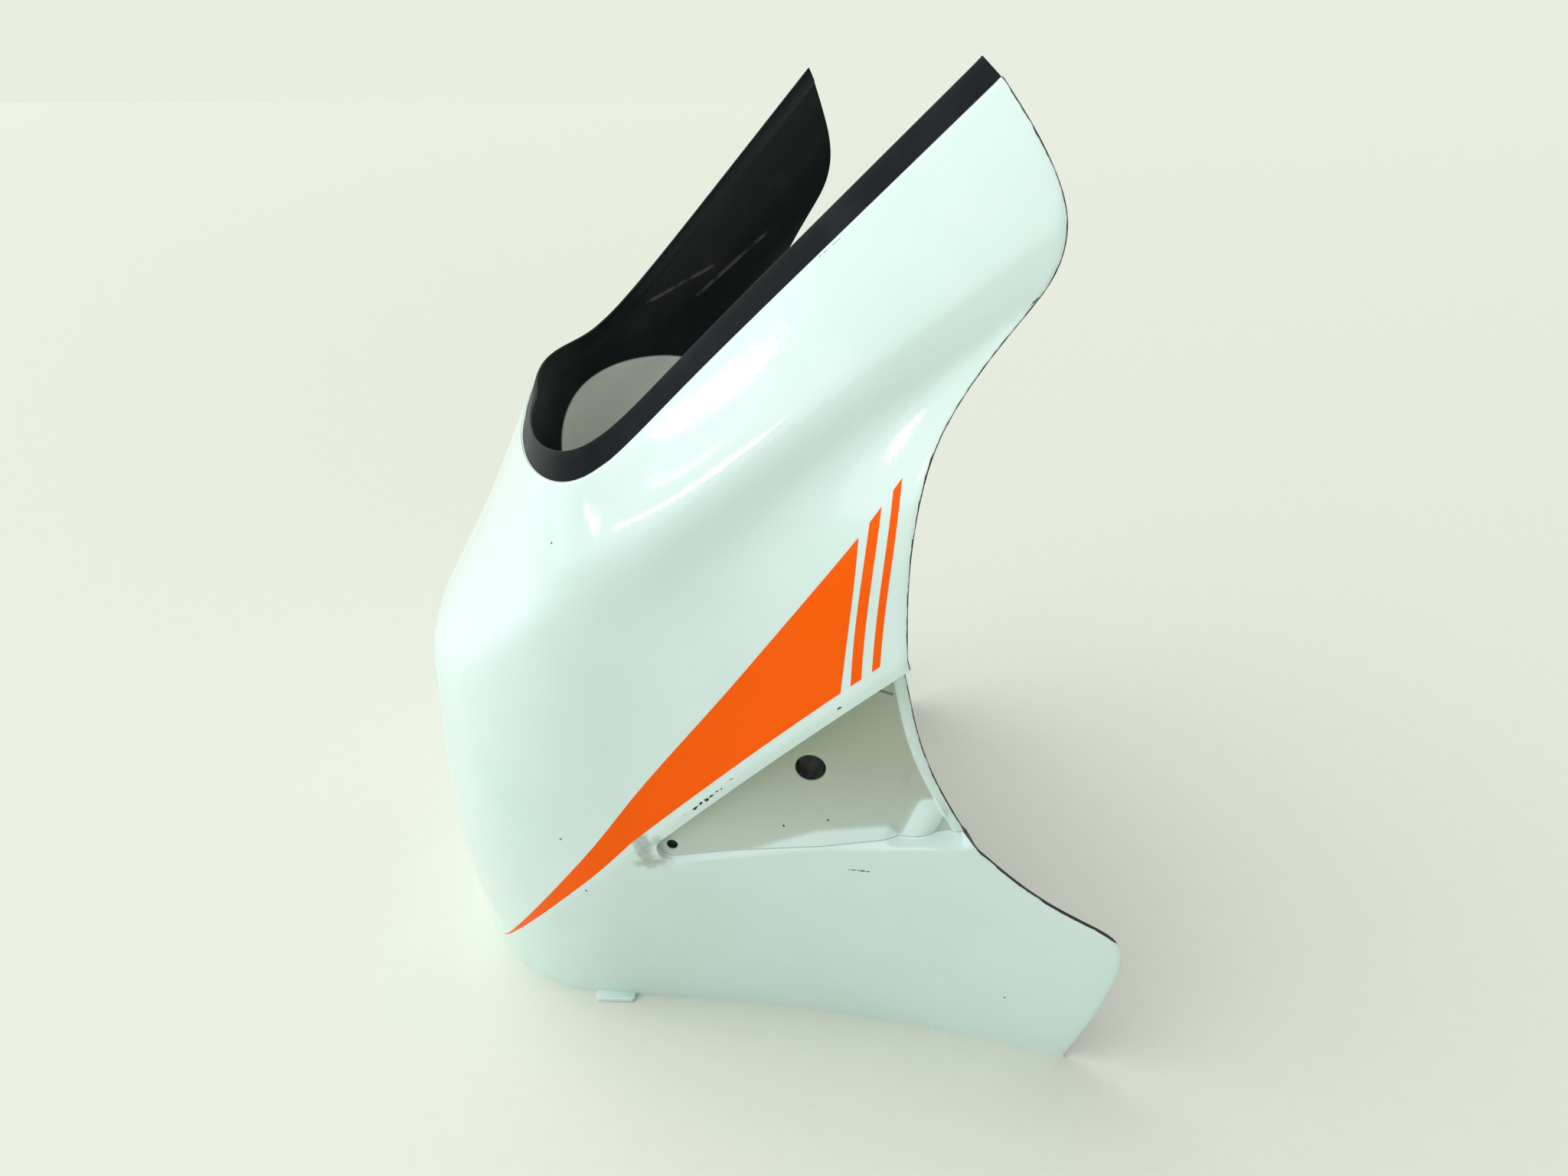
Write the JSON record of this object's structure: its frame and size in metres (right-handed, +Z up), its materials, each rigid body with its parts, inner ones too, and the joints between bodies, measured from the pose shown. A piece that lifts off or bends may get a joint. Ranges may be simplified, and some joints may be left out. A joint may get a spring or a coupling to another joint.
{
  "type": "motorcycle fairing",
  "caption": "Moulded front half-fairing shell for a small motorcycle, with windscreen ledge, headlight opening, signal recesses and stripes stuck on its flanks.",
  "frame": {"origin": "centre of the box's bottom, on the surface that the bottom rim stands on", "axes": "+Z up, -Y towards the nose, +X to the rider's left"},
  "size_m": [0.3934, 0.276, 0.3996],
  "materials": {
    "painted_shell": "black moulded ABS, gloss cool white paint outside, bare satin black inside and on the windscreen ledge",
    "stripe_film": "bright orange vinyl film, slightly glossy"
  },
  "bodies": {
    "root": {"fairing_shell": "painted_shell", "left_wedge_stripe": "stripe_film", "left_wide_stripe": "stripe_film", "left_narrow_stripe": "stripe_film", "right_wedge_stripe": "stripe_film", "right_wide_stripe": "stripe_film", "right_narrow_stripe": "stripe_film"}
  },
  "joints": []
}
